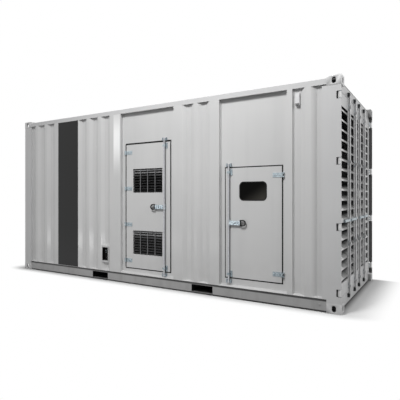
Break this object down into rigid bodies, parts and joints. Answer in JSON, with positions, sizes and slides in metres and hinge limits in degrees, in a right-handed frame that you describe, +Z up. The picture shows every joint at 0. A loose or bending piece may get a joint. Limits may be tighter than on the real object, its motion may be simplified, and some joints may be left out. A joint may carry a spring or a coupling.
{
  "type": "containerised diesel generator",
  "caption": "Steel container housing for a diesel generating set, with corrugated walls, service doors in recessed bays and louvred doors in one end.",
  "frame": {"origin": "on the ground under the middle of the box", "axes": "+X along the box to the louvred end, +Z up, and the long side with the two service doors faces -Y"},
  "size_m": [6.058, 2.438, 2.896],
  "materials": {
    "wall_paint": "satin light grey paint",
    "frame_paint": "satin light grey paint",
    "floor_paint": "worn grey floor paint",
    "dark_stripe": "satin charcoal film",
    "zinc_plate": "bright zinc plate",
    "black_plastic": "moulded black",
    "white_plastic": "moulded white",
    "grille_black": "matt black paint",
    "dark_glass": "tinted pane"
  },
  "bodies": {
    "container": {"castings_bottom": "frame_paint", "castings_top": "frame_paint", "door_end_posts": "frame_paint", "blank_end_posts": "frame_paint", "top_rails": "frame_paint", "side_rails": "frame_paint", "floor_beams": "frame_paint", "fork_pockets": "frame_paint", "door_header": "frame_paint", "door_sill": "frame_paint", "blank_end_beams": "frame_paint", "floor_deck": "floor_paint", "roof_panel": "wall_paint", "end_wall": "wall_paint", "front_wall_a": "wall_paint", "front_wall_b": "wall_paint", "front_wall_c": "wall_paint", "bay_jambs": "wall_paint", "bay_heads": "wall_paint", "bay_sills": "wall_paint", "stripe_panel": "dark_stripe", "service_recess": "black_plastic", "recess_frame": "wall_paint", "sensor_box": "white_plastic", "hinge_pins": "zinc_plate", "rod_keepers": "zinc_plate", "back_walls": "wall_paint", "back_bays": "wall_paint", "back_doors": "wall_paint", "back_grilles": "grille_black", "back_window": "dark_glass", "back_fittings": "zinc_plate", "exhaust_outlet": "frame_paint"},
    "side_door_1": {"door_1_leaf": "wall_paint", "door_1_grilles": "grille_black", "door_1_fittings": "zinc_plate"},
    "side_lock_1": {"side_rod_1": "zinc_plate", "side_grip_1": "black_plastic"},
    "side_door_2": {"door_2_leaf": "wall_paint", "door_2_window": "dark_glass", "door_2_fittings": "zinc_plate"},
    "side_lock_2": {"side_rod_2": "zinc_plate", "side_grip_2": "black_plastic"},
    "left_door": {"left_leaf_frame": "frame_paint", "left_leaf_blades": "wall_paint", "left_leaf_fittings": "zinc_plate"},
    "right_door": {"right_leaf_frame": "frame_paint", "right_leaf_blades": "wall_paint", "right_leaf_fittings": "zinc_plate"},
    "end_lock_1": {"end_rod_1": "zinc_plate"},
    "end_lock_2": {"end_rod_2": "zinc_plate"},
    "end_lock_3": {"end_rod_3": "zinc_plate"},
    "end_lock_4": {"end_rod_4": "zinc_plate"}
  },
  "joints": [
    {"name": "side_door_1_hinge", "type": "hinge", "parent": "container", "child": "side_door_1", "pos_m": [-0.419, -1.186, 1.268], "axis": [0, 0, -1], "range_deg": [0, 110]},
    {"name": "side_lock_1_turn", "type": "hinge", "parent": "side_door_1", "child": "side_lock_1", "pos_m": [0.382, -1.192, 1.262], "axis": [0, 0, 1], "range_deg": [0, 90]},
    {"name": "side_door_2_hinge", "type": "hinge", "parent": "container", "child": "side_door_2", "pos_m": [2.279, -1.186, 1.058], "axis": [0, 0, 1], "range_deg": [0, 110]},
    {"name": "side_lock_2_turn", "type": "hinge", "parent": "side_door_2", "child": "side_lock_2", "pos_m": [1.5, -1.192, 1.058], "axis": [0, 0, -1], "range_deg": [0, 90]},
    {"name": "left_door_hinge", "type": "hinge", "parent": "container", "child": "left_door", "pos_m": [3.008, -1.198, 1.445], "axis": [0, 0, 1], "range_deg": [-250, 0]},
    {"name": "right_door_hinge", "type": "hinge", "parent": "container", "child": "right_door", "pos_m": [3.008, 1.198, 1.445], "axis": [0, 0, -1], "range_deg": [-250, 0]},
    {"name": "end_lock_1_turn", "type": "hinge", "parent": "left_door", "child": "end_lock_1", "pos_m": [3.005, -0.589, 1.11], "axis": [0, 0, 1], "range_deg": [0, 90]},
    {"name": "end_lock_2_turn", "type": "hinge", "parent": "left_door", "child": "end_lock_2", "pos_m": [3.005, -0.17, 1.11], "axis": [0, 0, 1], "range_deg": [0, 90]},
    {"name": "end_lock_3_turn", "type": "hinge", "parent": "right_door", "child": "end_lock_3", "pos_m": [3.005, 0.17, 1.11], "axis": [0, 0, -1], "range_deg": [0, 90]},
    {"name": "end_lock_4_turn", "type": "hinge", "parent": "right_door", "child": "end_lock_4", "pos_m": [3.005, 0.589, 1.11], "axis": [0, 0, -1], "range_deg": [0, 90]}
  ]
}
